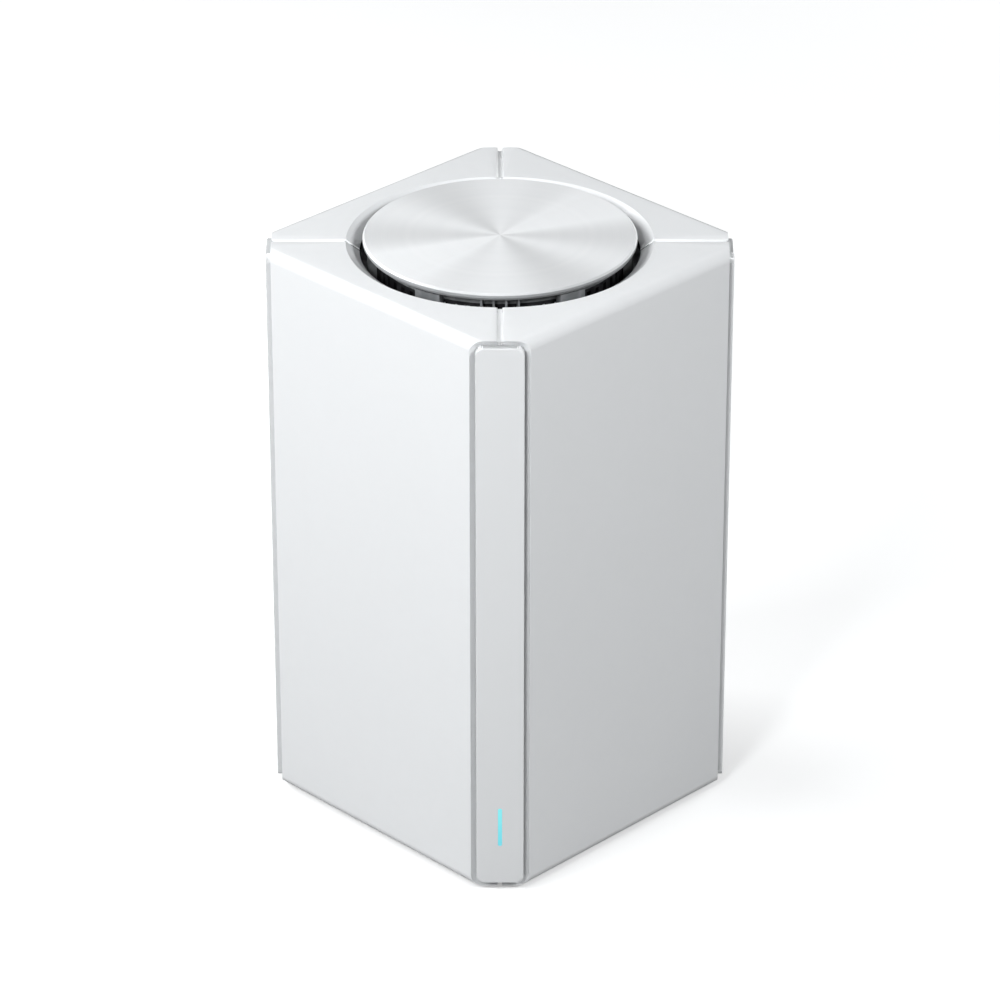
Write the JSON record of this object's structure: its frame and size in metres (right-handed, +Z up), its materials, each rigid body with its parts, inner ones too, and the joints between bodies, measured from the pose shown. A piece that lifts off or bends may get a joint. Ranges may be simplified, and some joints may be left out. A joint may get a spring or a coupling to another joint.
{
  "type": "wireless router",
  "caption": "Square tower wireless router standing on a corner axis, with corner strips, a brushed top disc over a ring vent, a status light, rear sockets and press buttons.",
  "frame": {"origin": "on the resting surface, on the axis of the square tower", "axes": "+Z up; -Y towards the corner with the status light; +Y towards the corner with the sockets; +X to the right of somebody facing the status light"},
  "size_m": [0.1214, 0.1214, 0.1628],
  "materials": {
    "white_plastic": "polished white moulding",
    "strip_plastic": "polished pale grey moulding",
    "light_guide": "clear light guide lit cyan",
    "led_package": "moulded lamp package",
    "brushed_disc": "spun with fine rings, clear anodised",
    "black_plastic": "matt black moulding",
    "grey_plastic": "matt grey moulding",
    "steel": "nickel plated",
    "foot_rubber": "matt rubber",
    "label_paper": "blank satin label",
    "jack_steel": "tinned sheet",
    "gold_contact": "gold plated",
    "chassis_plastic": "fine textured moulding",
    "board_green": "solder mask",
    "chip_epoxy": "moulded epoxy",
    "capacitor_can": "sleeved can",
    "thermal_pad": "soft pad",
    "sink_aluminium": "extruded, bare",
    "spacer_brass": "turned",
    "antenna_board": "etched board",
    "lead_jacket": "extruded jacket"
  },
  "bodies": {
    "root": {"panel_front_left": "white_plastic", "panel_front_right": "white_plastic", "panel_rear_left": "white_plastic", "panel_rear_right": "white_plastic", "corner_frame": "white_plastic", "base_plate": "white_plastic", "port_plate": "white_plastic", "front_strip": "strip_plastic", "left_strip": "strip_plastic", "right_strip": "strip_plastic", "rear_strip": "strip_plastic", "light_guide": "light_guide", "status_led": "led_package", "top_disc": "brushed_disc", "disc_pad": "black_plastic", "vent_grille": "black_plastic", "dc_jack": "black_plastic", "wan_insert": "black_plastic", "lan_insert_1": "black_plastic", "lan_insert_2": "black_plastic", "disc_carrier": "grey_plastic", "mesh_switch": "grey_plastic", "reset_switch": "grey_plastic", "carrier_screws": "steel", "base_screws": "steel", "dc_jack_pin": "steel", "board_screws": "steel", "heat_sink_screws": "steel", "crystal": "steel", "rubber_feet": "foot_rubber", "blank_label": "label_paper", "jack_shields": "jack_steel", "shield_cans": "jack_steel", "jack_contacts": "gold_contact", "lead_connectors": "gold_contact", "chassis": "chassis_plastic", "bracket_left": "chassis_plastic", "bracket_right": "chassis_plastic", "main_board": "board_green", "main_processor": "chip_epoxy", "memory_chips": "chip_epoxy", "flash_chip": "chip_epoxy", "lan_transformers": "chip_epoxy", "radio_chips": "chip_epoxy", "inductors": "chip_epoxy", "capacitors": "capacitor_can", "thermal_pads": "thermal_pad", "heat_sink": "sink_aluminium", "heat_spreader": "sink_aluminium", "clamp_spacers": "spacer_brass", "antenna_left_low": "antenna_board", "antenna_left_high": "antenna_board", "antenna_right_low": "antenna_board", "antenna_right_high": "antenna_board", "antenna_leads": "lead_jacket"},
    "mesh_button_body": {"mesh_button": "strip_plastic", "mesh_plunger": "black_plastic"},
    "reset_button_body": {"reset_button": "black_plastic"}
  },
  "joints": [
    {"name": "mesh_press", "type": "slide", "parent": "root", "child": "mesh_button_body", "axis": [0, -1, 0], "range_m": [0, 0.0005], "stiffness_N_per_m": 2500, "springref_m": -0.0002},
    {"name": "reset_press", "type": "slide", "parent": "root", "child": "reset_button_body", "axis": [0, -1, 0], "range_m": [0, 0.0003], "stiffness_N_per_m": 2500, "springref_m": -0.0002}
  ]
}
